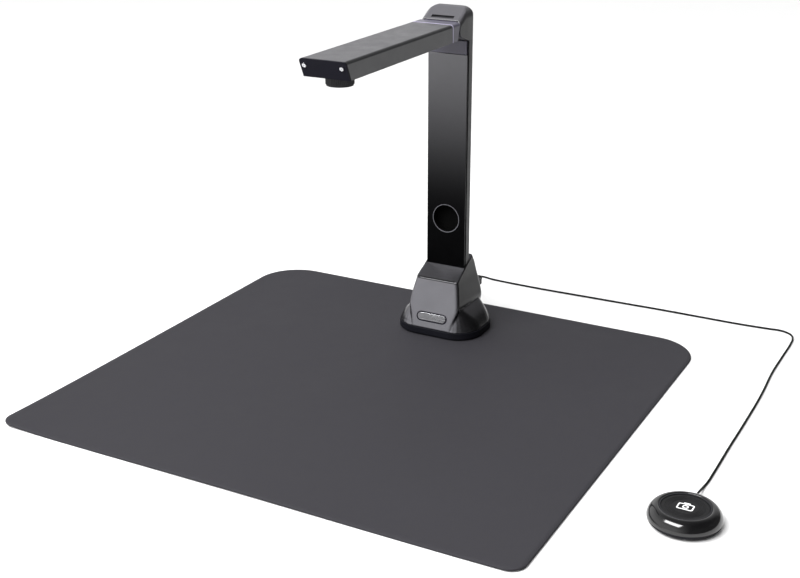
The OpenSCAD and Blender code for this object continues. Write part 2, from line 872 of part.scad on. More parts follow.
module puck_case() {
    color([0.02, 0.02, 0.02]) at_puck() difference() {
        rotate_extrude($fn = 96) polygon(concat(
            [[well_r, puck_h - 0.5]], shoulder(0), belly(0),
            [[puck_r - foot_in, 1.4 + case_wall]],
            reversed(concat(shoulder(case_wall), belly(case_wall))),
            [[well_r, puck_h - case_wall - 0.4]]));
        on_gland_axis() translate([0, 0, gland_in]) cylinder(h = 12, r = 2.6);
    }
}

module puck_bezel() {
    color([0.1, 0.1, 0.1]) at_puck() difference() {
        post(well_r - 0.05, disc_top - 3, disc_top + 0.5);
        post(disc_r + 0.35, disc_top - 4, disc_top + 2);
    }
}

module puck_board() {
    color([0.05, 0.3, 0.15]) at_puck() difference() {
        post(18, puck_board_z, board_top);
        at_puck_screws() post(1.15, puck_board_z - 1, board_top + 1);
    }
}

module puck_switch() {
    color([0.1, 0.1, 0.1]) at_puck() {
        box([-2.6, -2.6, board_top], [2.6, 2.6, board_top + 2.8]);
        post(1.6, board_top + 2.8, disc_top - disc_t - press - 0.1);
    }
}

// Screws that hold the board on the base's posts, heads up
module puck_screws() {
    color([0.55, 0.55, 0.57]) at_puck() at_puck_screws() translate([0, 0, board_top + 0.85])
        mirror([0, 0, 1]) screw_up(1.9, 0.8, 1, 0, board_top - 2.6);
}

// The pressed disc, with a lip under the bezel and a collar round the spring
module puck_button() {
    lip_top = disc_top - 3.1;
    lip_low = disc_top - 4;
    color([0.10, 0.10, 0.11]) at_puck() difference() {
        union() {
            post(disc_r, lip_low, disc_top);
            post(disc_r + 1.1, lip_low, lip_top);
        }
        difference() {
            post(disc_r - 1.2, lip_low - 1, disc_top - disc_t);
            difference() {
                post(6.6, lip_low, disc_top);
                post(5.4, lip_low - 1, disc_top + 1);
            }
        }
        for (r = [12:1.6:18.4]) difference() {
            post(r + 0.35, disc_top - 0.25, disc_top + 1);
            post(r - 0.35, disc_top - 1, disc_top + 2);
        }
        translate([0, 0, disc_top - 0.3]) linear_extrude(1) camera_icon(0.02);
    }
}

// Plain outline of a camera: a rounded body with a bump on top, and a round lens
module camera_icon(grow = 0) {
    difference() {
        union() {
            round_rect(14 + 2 * grow, 9.6 + 2 * grow, 1.6);
            translate([0, 5]) square([5.6 + 2 * grow, 3.2 + 2 * grow], center = true);
        }
        round_rect(11.8 - 2 * grow, 7.4 - 2 * grow, 0.8);
    }
    difference() {
        circle(2.7 + grow);
        circle(1.6 - grow);
    }
}

module puck_pictogram() {
    color([0.92, 0.92, 0.92]) at_puck()
        translate([0, 0, disc_top - 0.3]) linear_extrude(0.32) camera_icon();
}

// Return spring: an open coil between the board and the disc
module puck_spring() {
    coil_r = 4.4;
    wire_r = 0.4;
    sides = 6;
    z0 = board_top + wire_r;
    z1 = disc_top - disc_t - wire_r;
    rings = spring_turns * spring_steps;
    points = [for (j = [0:rings])
        let (a = 360 * j / spring_steps, z = z0 + (z1 - z0) * j / rings)
        for (i = [0:sides - 1])
            let (b = 360 * i / sides, r = coil_r + wire_r * cos(b))
            [r * cos(a), r * sin(a), z + wire_r * sin(b)]];
    color([0.7, 0.7, 0.72]) at_puck() tube_of(points, sides, rings);
}

// Frame of the cord's way into the button, with +Z pointing out of the case
module on_gland_axis() {
    rotate(gland_turn) translate([0, 0, gland_z]) rotate([-90, 0, 0]) children();
}

module puck_gland() {
    color([0.04, 0.04, 0.04]) at_puck() on_gland_axis()
        translate([0, 0, gland_in]) cylinder(h = gland_out - gland_in, r1 = 2.5, r2 = 1.7);
}

// ---- Cord and plug ----

// Closed tube from a list of points that holds one ring after another
module tube_of(points, sides, rings) {
    side_faces = [for (j = [0:rings - 1], i = [0:sides - 1])
        let (k = (i + 1) % sides)
        for (t = [[j * sides + i, (j + 1) * sides + k, (j + 1) * sides + i],
                  [j * sides + i, j * sides + k, (j + 1) * sides + k]]) t];
    polyhedron(points, concat(
        [[for (i = [sides - 1:-1:0]) i]],
        side_faces,
        [[for (i = [0:sides - 1]) rings * sides + i]]));
}

function unit(v) = v / norm(v);

// Direction of the cord at point i of its route
function cord_dir(i) =
    let (last = len(cord_route) - 1)
    i == 0 ? [0, 1, 0] : i == last ? -gland_dir :
    unit(unit(cord_route[i + 1] - cord_route[i]) + unit(cord_route[i] - cord_route[i - 1]));

module trigger_cord() {
    last = len(cord_route) - 1;
    points = [for (i = [0:last])
        let (d = cord_dir(i), across = unit(cross([0, 0, 1], d)), up = cross(d, across))
        for (s = [0:cord_sides - 1])
            let (a = 360 * (s + 0.5) / cord_sides)
            cord_route[i] + cord_r * (cos(a) * across + sin(a) * up)];
    color([0.13, 0.13, 0.14]) tube_of(points, cord_sides, last);
}

module usb_plug() {
    color([0.05, 0.05, 0.05])
        box([socket_x - 7.8, plug_y0, plug_z - 3.4],
            [socket_x + 7.8, plug_y0 + plug_len, plug_z + 3.4]);
    color([0.8, 0.8, 0.82]) difference() {
        box([socket_x - 6, 19.5, plug_z - 2.25], [socket_x + 6, plug_y0, plug_z + 2.25]);
        box([socket_x - 5.6, 19, plug_z - 1.85], [socket_x + 5.6, plug_y0 - 2, plug_z - 0.1]);
    }
}

module plug_relief() {
    color([0.05, 0.05, 0.05]) translate([socket_x, plug_y0 + plug_len, plug_z])
        rotate([-90, 0, 0]) cylinder(h = relief_len, r1 = 2.6, r2 = 1.5);
}

document_mat();
foot_pad();
base_plate();
base_shell();
base_screws();
ballast_blocks();
column_socket();
column_foot_block();
column_bolts();
base_board();
usb_socket();
data_inlet();
badge_bezel();
front_badge();
column_shell();
column_frame();
column_front_panel();
hinge_seat_plate();
lens_recess_cup();
column_cable();
hinge_pin();
hinge_bushes();
friction_washers();
arm_knuckle();
arm_shell();
arm_bottom_cover();
arm_end_cap();
end_cap_screws();
cover_screws();
lens_holder();
camera_board();
image_sensor();
arm_ribbon();
focus_ring();
lens_cell();
front_lens();
rear_lens();
puck_pad();
puck_base();
puck_case();
puck_bezel();
puck_board();
puck_switch();
puck_screws();
puck_spring();
puck_button();
puck_pictogram();
puck_gland();
trigger_cord();
usb_plug();
plug_relief();
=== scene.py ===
"""Looks of a folding document camera with a desk mat and a corded trigger button."""

import math

import bmesh
import bpy
from mathutils import Matrix, Vector
from mathutils.noise import noise


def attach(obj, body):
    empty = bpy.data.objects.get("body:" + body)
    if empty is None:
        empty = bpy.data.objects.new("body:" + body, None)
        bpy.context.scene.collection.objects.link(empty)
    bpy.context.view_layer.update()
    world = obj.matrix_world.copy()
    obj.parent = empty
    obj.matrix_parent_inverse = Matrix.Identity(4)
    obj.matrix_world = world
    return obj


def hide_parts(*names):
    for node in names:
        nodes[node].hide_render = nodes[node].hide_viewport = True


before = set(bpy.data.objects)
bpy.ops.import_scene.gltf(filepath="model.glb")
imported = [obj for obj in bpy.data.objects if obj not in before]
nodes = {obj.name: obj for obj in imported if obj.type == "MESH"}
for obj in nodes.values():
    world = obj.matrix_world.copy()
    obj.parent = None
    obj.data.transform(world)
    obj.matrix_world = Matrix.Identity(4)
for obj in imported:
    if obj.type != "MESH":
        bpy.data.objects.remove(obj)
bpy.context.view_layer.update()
ROOT = "base_and_column"
MM = 0.001


def mm(*v):
    return Vector(v) * MM


# ---- Camera ----

CAMERA_PLACE = (606.54, -1240.17, 580.94)
CAMERA_YAW, CAMERA_DOWN, CAMERA_ROLL = 28.3475, 21.2548, -0.1293
CAMERA_LENS, CAMERA_SENSOR = 58.2755, 36


def make_camera():
    data = bpy.data.cameras.new("camera")
    data.lens = CAMERA_LENS
    data.sensor_width = CAMERA_SENSOR
    data.clip_start = 0.05
    data.clip_end = 60
    cam = bpy.data.objects.new("camera", data)
    bpy.context.scene.collection.objects.link(cam)
    turn = (
        Matrix.Rotation(math.radians(CAMERA_YAW), 4, "Z")
        @ Matrix.Rotation(math.radians(90 - CAMERA_DOWN), 4, "X")
        @ Matrix.Rotation(math.radians(CAMERA_ROLL), 4, "Z")
    )
    cam.matrix_world = Matrix.Translation(mm(*CAMERA_PLACE)) @ turn
    bpy.context.scene.camera = cam


make_camera()


# ---- Shader helpers ----

def map_range(tree, source, low, high, at_low, at_high, smooth=False):
    """Output that goes from at_low to at_high as source goes from low to high."""
    node = tree.nodes.new("ShaderNodeMapRange")
    if smooth:
        node.interpolation_type = "SMOOTHSTEP"
    for key, value in zip(("From Min", "From Max", "To Min", "To Max"),
                          (low, high, at_low, at_high)):
        node.inputs[key].default_value = value
    tree.links.new(source, node.inputs["Value"])
    return node.outputs["Result"]


def math_node(tree, operation, *values):
    """Output of a math node, of which each value is a number or another output."""
    node = tree.nodes.new("ShaderNodeMath")
    node.operation = operation
    for socket, value in zip(node.inputs, values):
        if isinstance(value, (int, float)):
            socket.default_value = value
        else:
            tree.links.new(value, socket)
    return node.outputs[0]


def noise_node(tree, vector, size, detail):
    node = tree.nodes.new("ShaderNodeTexNoise")
    node.inputs["Scale"].default_value = size
    node.inputs["Detail"].default_value = detail
    node.inputs["Roughness"].default_value = 0.6
    tree.links.new(vector, node.inputs["Vector"])
    return node.outputs["Fac"]


def blend(tree, factor, a, b):
    """Colour from a to b as factor goes from 0 to 1. Each is an RGB colour or an output."""
    mix = tree.nodes.new("ShaderNodeMix")
    mix.data_type = "RGBA"
    tree.links.new(factor, mix.inputs["Factor"])
    for socket, value in zip([s for s in mix.inputs if s.type == "RGBA"], (a, b)):
        if isinstance(value, tuple):
            socket.default_value = value + (1,)
        else:
            tree.links.new(value, socket)
    return [s for s in mix.outputs if s.type == "RGBA"][0]


def zone_mask(tree, place, limits):
    """Output that is 1 where the piece's own x, y and z pass every limit, else 0."""
    inside = None
    for axis, (low, high) in limits.items():
        value = place.outputs[axis.strip("|").upper()]
        if axis.startswith("|"):
            value = math_node(tree, "ABSOLUTE", value)
        near = math_node(tree, "COMPARE", value, (low + high) / 2 * MM, (high - low) / 2 * MM)
        inside = near if inside is None else math_node(tree, "MULTIPLY", inside, near)
    return inside


# ---- Materials ----

# Noise stays mostly between these, and how far roughness strays to either side
NOISE_LOW, NOISE_HIGH = 0.3, 0.7
ROUGH_SPREAD = 0.12


def material(name, color, rough, metal=0.0, coat=0.0, spread=0.12, scale=60, grain=900,
             bump=0.05, streak=(1, 1, 1), spec=0.5, fine_color=0.0, painted_light_zones=(), painted_reflection_fade=None,
             sides=None):
    """Principled material with blotchy colour and roughness and a fine bump, all from noise.
    Each of zones is (limits, colour), with limits like {"x": (low, high)} in the piece's own
    millimetres, or "|x" for both sides: inside them the surface has that colour, which is
    painted shade or a painted highlight.
    fade is (low, high, colour), a painted reflection: below height low it has that colour,
    blending up to high.
    sides is (low, high, colour), painted light and shade: its faces turned sideways have that
    colour, blending in as the x of their normal goes from low to high."""
    mat = bpy.data.materials.new(name)
    mat.use_nodes = True
    tree = mat.node_tree
    tree.nodes.clear()
    out = tree.nodes.new("ShaderNodeOutputMaterial")
    shader = tree.nodes.new("ShaderNodeBsdfPrincipled")
    tree.links.new(shader.outputs["BSDF"], out.inputs["Surface"])
    shader.inputs["Metallic"].default_value = metal
    shader.inputs["Coat Weight"].default_value = coat
    shader.inputs["Coat Roughness"].default_value = 0.05
    shader.inputs["Specular IOR Level"].default_value = spec
    coord = tree.nodes.new("ShaderNodeTexCoord")
    stretch = tree.nodes.new("ShaderNodeMapping")
    stretch.inputs["Scale"].default_value = streak
    tree.links.new(coord.outputs["Object"], stretch.inputs["Vector"])
    broad = noise_node(tree, coord.outputs["Object"], scale, 4)
    fine = noise_node(tree, stretch.outputs["Vector"], grain, 3)

    def tinted(factor):
        return tuple(min(1, c * factor) for c in color)

    tone = map_range(tree, broad, NOISE_LOW, NOISE_HIGH, 0, 1)
    colour = blend(tree, tone, tinted(1 - spread), tinted(1 + spread))
    if fine_color:
        speck = map_range(tree, fine, 0.5, NOISE_HIGH, 0, 2 * fine_color)
        colour = blend(tree, speck, colour, tinted(2.2))
    place = tree.nodes.new("ShaderNodeSeparateXYZ")
    tree.links.new(coord.outputs["Object"], place.inputs["Vector"])
    # Painted reflection: the colour goes dark towards the bottom
    if painted_reflection_fade:
        low, high, paint = painted_reflection_fade
        up = map_range(tree, place.outputs["Z"], low * MM, high * MM, 0, 1, smooth=True)
        colour = blend(tree, up, paint, colour)
    # Painted light and shade: faces turned sideways are painted lighter or darker
    if sides:
        low, high, paint = sides
        facing = tree.nodes.new("ShaderNodeSeparateXYZ")
        tree.links.new(coord.outputs["Normal"], facing.inputs["Vector"])
        across = math_node(tree, "ABSOLUTE", facing.outputs["X"])
        colour = blend(tree, map_range(tree, across, low, high, 0, 1), colour, paint)
    # Painted shade and painted highlights, each inside its zone
    for limits, paint in painted_light_zones:
        colour = blend(tree, zone_mask(tree, place, limits), colour, paint)
    tree.links.new(colour, shader.inputs["Base Color"])
    dull = map_range(tree, broad, NOISE_LOW, NOISE_HIGH,
                     rough * (1 - ROUGH_SPREAD), rough * (1 + ROUGH_SPREAD))
    tree.links.new(dull, shader.inputs["Roughness"])
    relief = tree.nodes.new("ShaderNodeBump")
    relief.inputs["Strength"].default_value = bump
    relief.inputs["Distance"].default_value = 0.0004
    tree.links.new(fine, relief.inputs["Height"])
    tree.links.new(relief.outputs["Normal"], shader.inputs["Normal"])
    return mat


# Colour of painted shade
SHADE_DARK = (0.006, 0.006, 0.007)

# Parts of a piece with painted shade or a painted highlight, as limits in millimetres
# Painted shade along the arm's rounded top edges
ARM_EDGE_SHADE = {"|x": (22.2, 30), "z": (350.4, 360), "y": (-300, -48)}
# Painted shade in the groove at the column shell's front edge
SHELL_GROOVE_SHADE = {"y": (-5.1, -4.45), "z": (0, 331)}
# Painted shade on the column shell's sides
SHELL_SIDE_SHADE = {"|x": (23.2, 26), "z": (0, 331)}
# Painted shade in and round the hood's slot
SLOT_SHADE = {"|x": (0, 13), "y": (-22.7, -18.9), "z": (354.8, 358)}
# Painted shade in the grooves at the front panel's edges
PANEL_GROOVE_SHADE = {"|x": (23.05, 30)}
# Painted shade on the base's top front edge, dimming the key light's glint there
BASE_EDGE_SHADE = {"|x": (0, 26), "y": (-31.3, -28), "z": (64, 67)}
# Painted highlight on the lens recess cup's front rim
RECESS_RIM_HIGHLIGHT = {"y": (-8.6, -7.75)}

FINISHES = {
    # Arm: painted light on its sideways faces, and painted shade along its rounded top edges
    "arm_metal": dict(color=(0.044, 0.0435, 0.0475), rough=0.42, spec=0.22, grain=1400,
                      bump=0.12, spread=0.05, fine_color=0.1,
                      sides=(0.5, 0.9, (0.063, 0.063, 0.066)),
                      painted_light_zones=[(ARM_EDGE_SHADE, (0.012, 0.012, 0.013))]),
    # Column shell: painted shade on its sideways faces, in the groove at its front edge and
    # round the slot
    "hood_metal": dict(color=(0.058, 0.057, 0.063), rough=0.38, spec=0.3, grain=1400,
                       bump=0.12, spread=0.05, fine_color=0.1,
                       sides=(0.5, 0.9, (0.017, 0.017, 0.018)),
                       painted_light_zones=[(SHELL_GROOVE_SHADE, SHADE_DARK), (SHELL_SIDE_SHADE, SHADE_DARK),
                              (SLOT_SHADE, SHADE_DARK)]),
    "plum_metal": dict(color=(0.052, 0.0485, 0.07), rough=0.38, grain=1400, bump=0.1,
                       spread=0.07),
    # Front panel: painted shade at its edges, and a painted dark reflection that darkens it
    # towards the bottom
    "panel": dict(color=(0.13, 0.129, 0.136), rough=0.34, metal=1.0, grain=1100, bump=0.05,
                  spread=0.05, painted_light_zones=[(PANEL_GROOVE_SHADE, SHADE_DARK)],
                  painted_reflection_fade=(140, 380, (0.006, 0.006, 0.0065))),
    # Base: painted shade on its sideways faces and on its top front edge
    "base_plastic": dict(color=(0.20, 0.198, 0.215), rough=0.24, metal=1.0, grain=1300,
                         bump=0.04, spread=0.05, sides=(0.3, 0.95, (0.008, 0.008, 0.0085)),
                         painted_light_zones=[(BASE_EDGE_SHADE, (0.06, 0.06, 0.063))]),
    "black_plastic": dict(color=(0.005, 0.005, 0.0065), rough=0.5, spec=0.3, grain=1500,
                          bump=0.15),
    "cap_black": dict(color=(0.006, 0.0058, 0.0095), rough=0.5, spec=0.05, grain=1500,
                      bump=0.1),
    # Near black standing in for shade in the column's groove and the lens recess, with a
    # painted highlight on the cup's front rim
    "hollow_shade_black": dict(color=(0.002, 0.002, 0.002), rough=0.7, spec=0.02, grain=1500,
                       bump=0.1, painted_light_zones=[(RECESS_RIM_HIGHLIGHT, (0.10, 0.10, 0.11))]),
    "black_gloss": dict(color=(0.003, 0.003, 0.0033), rough=0.12, spec=0.75, grain=400,
                        bump=0.004, scale=25),
    "disc_black": dict(color=(0.0065, 0.0065, 0.007), rough=0.45, spec=0.1, grain=2200,
                       bump=0.25),
    "band_black": dict(color=(0.004, 0.004, 0.006), rough=0.55, spec=0.1, grain=1600,
                       bump=0.2),
    "rubber": dict(color=(0.012, 0.012, 0.013), rough=0.6, spec=0.3, grain=1500, bump=0.2),
    "cord_rubber": dict(color=(0.005, 0.005, 0.0048), rough=0.5, spec=0.05, grain=1500,
                        bump=0.1),
    "mat_rubber": dict(color=(0.0205, 0.0198, 0.0232), rough=0.75, spec=0.15, grain=1700,
                       bump=0.35, scale=7, spread=0.05, fine_color=0.1),
    "bright_steel": dict(color=(0.75, 0.75, 0.77), rough=0.25, metal=1.0),
    "plain_steel": dict(color=(0.45, 0.45, 0.47), rough=0.4, metal=1.0, bump=0.1),
    "badge_metal": dict(color=(0.2, 0.2, 0.21), rough=0.26, metal=1.0, grain=700, bump=0.6,
                        streak=(0.06, 1, 1), fine_color=0.25),
    "ballast_iron": dict(color=(0.10, 0.10, 0.10), rough=0.75, metal=0.6, grain=500,
                         bump=0.5),
    "bronze": dict(color=(0.5, 0.32, 0.14), rough=0.4, metal=1.0, grain=800, bump=0.1),
    "glass_lens": dict(color=(0.02, 0.025, 0.05), rough=0.04, coat=1.0, grain=300,
                       bump=0.002),
    "board_green": dict(color=(0.015, 0.09, 0.04), rough=0.35, grain=700, bump=0.1),
    "cable_amber": dict(color=(0.35, 0.18, 0.05), rough=0.3, grain=700),
    "icon_white": dict(color=(0.72, 0.72, 0.72), rough=0.5, grain=1500, bump=0.1),
    "seam_light": dict(color=(0.30, 0.275, 0.40), rough=0.35, grain=1400, spread=0.05),
}
MATERIALS = {name: material(name, **finish) for name, finish in FINISHES.items()}

LOOKS = {
    "arm_metal": "arm_shell",
    "hood_metal": "column_shell",
    "plum_metal": "arm_knuckle hinge_seat_plate",
    "panel": "column_front_panel",
    "hollow_shade_black": "column_frame lens_recess_cup",
    "cap_black": "arm_end_cap badge_bezel",
    "black_plastic": "arm_bottom_cover lens_holder focus_ring lens_cell puck_base puck_bezel "
                     "puck_switch usb_plug",
    "band_black": "base_plate",
    "black_gloss": "image_sensor",
    "disc_black": "puck_button",
    "rubber": "foot_pad puck_pad puck_gland plug_relief",
    "bright_steel": "hinge_pin end_cap_screws puck_spring usb_socket data_inlet",
    "plain_steel": "base_screws column_socket column_foot_block column_bolts "
                   "friction_washers cover_screws puck_screws",
    "badge_metal": "front_badge",
    "ballast_iron": "ballast_blocks",
    "bronze": "hinge_bushes",
    "glass_lens": "front_lens rear_lens",
    "board_green": "base_board camera_board puck_board",
    "cable_amber": "column_cable arm_ribbon",
    "icon_white": "puck_pictogram",
}

# Width of the rounded edge on each kept node, in millimetres; the others get none
EDGES = {
    "column_shell": 0.35, "column_front_panel": 0.3, "hinge_seat_plate": 0.3,
    "arm_knuckle": 0.45, "arm_shell": 0.35, "arm_bottom_cover": 0.25, "arm_end_cap": 0.6,
    "badge_bezel": 0.2, "front_badge": 0.45, "base_plate": 0.5, "usb_plug": 0.7,
    "puck_bezel": 0.2, "puck_button": 0.12, "puck_pictogram": 0.05, "end_cap_screws": 0.25,
    "lens_cell": 0.2, "focus_ring": 0.12, "lens_recess_cup": 0.2, "usb_socket": 0.2,
    "data_inlet": 0.2,
}


def soften(obj, width, segments=3, angle=30):
    """Rounds the sharp edges of obj with modifiers and shades it smooth."""
    imported = obj.data.attributes.get("custom_normal")
    if imported:
        obj.data.attributes.remove(imported)
    for face in obj.data.polygons:
        face.use_smooth = True
    weld = obj.modifiers.new("weld", "WELD")
    weld.merge_threshold = 1e-6
    flat = obj.modifiers.new("flat", "DECIMATE")
    flat.decimate_type = "DISSOLVE"
    flat.angle_limit = math.radians(0.4)
    if width:
        bevel = obj.modifiers.new("bevel", "BEVEL")
        bevel.width = width * MM
        bevel.segments = segments
        bevel.limit_method = "ANGLE"
        bevel.angle_limit = math.radians(angle)
        bevel.harden_normals = True
        bevel.use_clamp_overlap = True
    smooth = obj.modifiers.new("normals", "WEIGHTED_NORMAL")
    smooth.keep_sharp = True


def dress_cad_nodes():
    for look, names in LOOKS.items():
        for name in names.split():
            obj = nodes[name]
            obj.data.materials.clear()
            obj.data.materials.append(MATERIALS[look])
            soften(obj, EDGES.get(name, 0))


dress_cad_nodes()


# ---- Shared mesh helpers ----

def add_mesh(name, verts, faces, look, body, replaced, smooth=True):
    """Makes one mesh piece from points in millimetres, dressed and riding on a body."""
    mesh = bpy.data.meshes.new(name)
    mesh.from_pydata([tuple(c * MM for c in v) for v in verts], [], faces)
    mesh.validate()
    fixed = bmesh.new()
    fixed.from_mesh(mesh)
    bmesh.ops.recalc_face_normals(fixed, faces=fixed.faces)
    fixed.to_mesh(mesh)
    fixed.free()
    for face in mesh.polygons:
        face.use_smooth = smooth
    obj = bpy.data.objects.new(name, mesh)
    bpy.context.scene.collection.objects.link(obj)
    if look:
        mesh.materials.append(MATERIALS[look])
    if body:
        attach(obj, body)
    if replaced:
        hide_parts(*replaced)
    return obj


def grid_faces(rows, columns, wrap=False):
    faces = []
    for j in range(rows - 1):
        for i in range(columns if wrap else columns - 1):
            k = (i + 1) % columns
            faces.append((j * columns + i, j * columns + k,
                          (j + 1) * columns + k, (j + 1) * columns + i))
    return faces


# ---- Cord ----

CORD_D = 2.2
PLUG_END = (13, 54.5, 42.2)
GLAND_DIR = Vector((-math.sin(math.radians(2)), math.cos(math.radians(2)), 0))
CORD_END = Vector((367.5, -293, 6.5)) + 37 * GLAND_DIR
CORD_ROUTE = [
    PLUG_END, (12.6, 60.5, 41.6), (8, 72.5, 35), (0, 85, 22), (-9, 99, 8.5),
    (-22, 116, 1.7), (-35, 133, 1.2), (-41, 146, 1.2), (-41, 152, 1.2), (-38, 157, 1.2),
    (-32, 159, 1.2), (-14, 156, 1.2), (0, 155, 1.2), (30, 154, 1.2), (66, 154, 1.2),
    (108, 155, 1.2), (157, 156, 1.2), (203, 157, 1.2), (250, 157, 1.2), (295, 157, 1.2),
    (330, 159, 1.2), (343, 160, 1.2), (352, 157, 1.2), (358, 151, 1.2), (361, 142, 1.2),
    (362, 130, 1.2), (362, 88, 1.2), (362, 44, 1.2), (365, -18, 1.2), (366, -91, 1.2),
    (366, -145, 1.2), (366.5, -200, 1.2), tuple(CORD_END + Vector((0.2, 38, 1.2 - 6.5))),
    tuple(CORD_END + Vector((-0.6, 27, 1.5 - 6.5))),
    tuple(CORD_END + 12 * GLAND_DIR - Vector((0, 0, 2))), tuple(CORD_END),
]


def make_cord():
    curve = bpy.data.curves.new("trigger_lead", "CURVE")
    curve.dimensions = "3D"
    curve.bevel_depth = CORD_D / 2 * MM
    curve.bevel_resolution = 5
    curve.resolution_u = 12
    curve.use_fill_caps = True
    spline = curve.splines.new("BEZIER")
    spline.bezier_points.add(len(CORD_ROUTE) - 1)
    for point, place in zip(spline.bezier_points, CORD_ROUTE):
        point.co = mm(*place)
        point.handle_left_type = point.handle_right_type = "AUTO"
    curve.materials.append(MATERIALS["cord_rubber"])
    obj = bpy.data.objects.new("trigger_lead", curve)
    bpy.context.scene.collection.objects.link(obj)
    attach(obj, ROOT)
    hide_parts("trigger_cord")


make_cord()


# ---- Mat ----

MAT_W, MAT_D, MAT_T = 552, 507, 2.0
BACK_R, FRONT_R = 50, 15
MAT_BEHIND = 75.5
MAT_X, MAT_Y = 1, MAT_BEHIND - MAT_D / 2
MAT_COLUMNS, MAT_ROWS = 126, 116
# The round edge's depth, and its middle rings as (share of thickness down, share of depth out)
MAT_EDGE = 0.6
MAT_EDGE_RINGS = [(0.18, 2 / 3), (0.5, 1), (0.82, 2 / 3)]
# The mat is flat this far round the base, and the waves grow from there to its edges
MAT_CALM = 150
WAVE_H, SIDE_H, CORNER_H = 1.1, 0.5, 2.2


def rounded_place(u, v, half_w, half_d, inset):
    """Place of grid point (u, v), each from -1 to 1, in a rectangle with round corners."""
    x, y = u * half_w, v * half_d
    r = (BACK_R if v > 0 else FRONT_R) - inset
    dx, dy = abs(x) - (half_w - r), abs(y) - (half_d - r)
    if dx > 0 and dy > 0:
        dx, dy = (dx * math.sqrt(1 - dy * dy / (2 * r * r)),
                  dy * math.sqrt(1 - dx * dx / (2 * r * r)))
        x = math.copysign(half_w - r + dx, x)
        y = math.copysign(half_d - r + dy, y)
    return x, y


def mat_lift(x, y):
    """Height of the mat's underside: flat under the base, with faint waves near its front."""
    front = max(0.0, (-y - MAT_CALM) / (MAT_D - MAT_BEHIND - MAT_CALM))
    side = max(0.0, (abs(x) - MAT_CALM) / (MAT_W / 2 - MAT_CALM))
    wave = 0.5 + 0.5 * math.sin(x / 61 + 1.3 + 0.4 * math.sin(y / 90))
    soft = 0.5 + 0.5 * noise(Vector((x / 90, y / 90, 3.1)))
    corner = max(0.0, front - 0.55) * max(0.0, side - 0.4) / 0.27 * (1 if x < 0 else 0.35)
    return (WAVE_H * front ** 1.5 * wave + SIDE_H * side * soft * front
            + CORNER_H * corner ** 1.6)


def make_mat():
    columns, rows = MAT_COLUMNS, MAT_ROWS
    verts = []
    for thickness in (MAT_T, 0):
        for j in range(rows):
            for i in range(columns):
                x, y = rounded_place(2 * i / (columns - 1) - 1, 2 * j / (rows - 1) - 1,
                                     MAT_W / 2 - MAT_EDGE, MAT_D / 2 - MAT_EDGE, MAT_EDGE)
                x, y = x + MAT_X, y + MAT_Y
                verts.append((x, y, mat_lift(x, y) + thickness))
    count = rows * columns
    top = grid_faces(rows, columns)
    faces = top + [tuple(reversed([count + i for i in f])) for f in top]
    rim = (list(range(columns))
           + [j * columns + columns - 1 for j in range(1, rows)]
           + [(rows - 1) * columns + i for i in range(columns - 2, -1, -1)]
           + [j * columns for j in range(rows - 2, 0, -1)])
    middle = Vector((MAT_X, MAT_Y, 0))
    previous = rim
    for share, out in MAT_EDGE_RINGS:
        ring = []
        for n, index in enumerate(rim):
            high, low = Vector(verts[index]), Vector(verts[count + index])
            a, b = Vector(verts[rim[n - 1]]), Vector(verts[rim[(n + 1) % len(rim)]])
            along = b - a
            normal = Vector((along.y, -along.x, 0)).normalized()
            if normal.dot(high - middle) < 0:
                normal.negate()
            ring.append(len(verts))
            verts.append(tuple(high.lerp(low, share) + normal * out * MAT_EDGE))
        faces += [(previous[n], previous[(n + 1) % len(rim)], ring[(n + 1) % len(rim)], ring[n])
                  for n in range(len(rim))]
        previous = ring
    low_rim = [count + i for i in rim]
    faces += [(previous[n], previous[(n + 1) % len(rim)], low_rim[(n + 1) % len(rim)],
               low_rim[n]) for n in range(len(rim))]
    obj = add_mesh("desk_mat", verts, faces, "mat_rubber", ROOT, ["document_mat"])


make_mat()


# ---- Trigger button's case ----

PUCK = Vector((367.5, -293, 0))
PUCK_R, PUCK_H, WELL_R, BELLY_Z, FOOT_IN = 32, 16.5, 22.4, 7, 4.5
# Below this height the case is matt
MATT_BELOW = BELLY_Z - 1


def puck_profile():
    """Outline of the case as (radius, height), from the well over the rim to the foot."""
    crest = WELL_R + 1
    shoulder = [(crest + (PUCK_R - crest) * math.cos(math.radians(a)),
                 BELLY_Z + (PUCK_H - BELLY_Z) * math.sin(math.radians(a)) ** 1.3)
                for a in range(90, 0, -4)]
    belly = [(PUCK_R - FOOT_IN + FOOT_IN * math.cos(math.radians(a)),
              BELLY_Z + (BELLY_Z - 1.4) * math.sin(math.radians(a))) for a in range(0, -91, -6)]
    return ([(WELL_R, PUCK_H - 2.4), (WELL_R, PUCK_H - 0.6), (WELL_R + 0.25, PUCK_H - 0.2)]
            + shoulder + belly + [(PUCK_R - FOOT_IN, 3.4), (WELL_R + 2, 3.6)])


def make_puck_case():
    profile = puck_profile()
    turns = 160
    verts = [tuple(PUCK + Vector((r * math.cos(2 * math.pi * i / turns),
                                  r * math.sin(2 * math.pi * i / turns), z)))
             for r, z in profile for i in range(turns)]
    faces = grid_faces(len(profile), turns, wrap=True)
    last = len(profile) - 1
    faces += [(i, last * turns + i, last * turns + (i + 1) % turns, (i + 1) % turns)
              for i in range(turns)]
    obj = add_mesh("trigger_case", verts, faces, "black_gloss", ROOT, ["puck_case"])
    obj.data.materials.append(MATERIALS["band_black"])
    for face in obj.data.polygons:
        face.material_index = int(face.center.z < MATT_BELOW * MM)


make_puck_case()


# ---- Base ----

FRONT_LEAN, BASE_FRONT_Y, BASE_FRONT_H, TOP_SLOPE = 15.6, -29.8, 65.4, 27.2


def front_y(z):
    return BASE_FRONT_Y - (BASE_FRONT_H - z) * math.tan(math.radians(FRONT_LEAN))


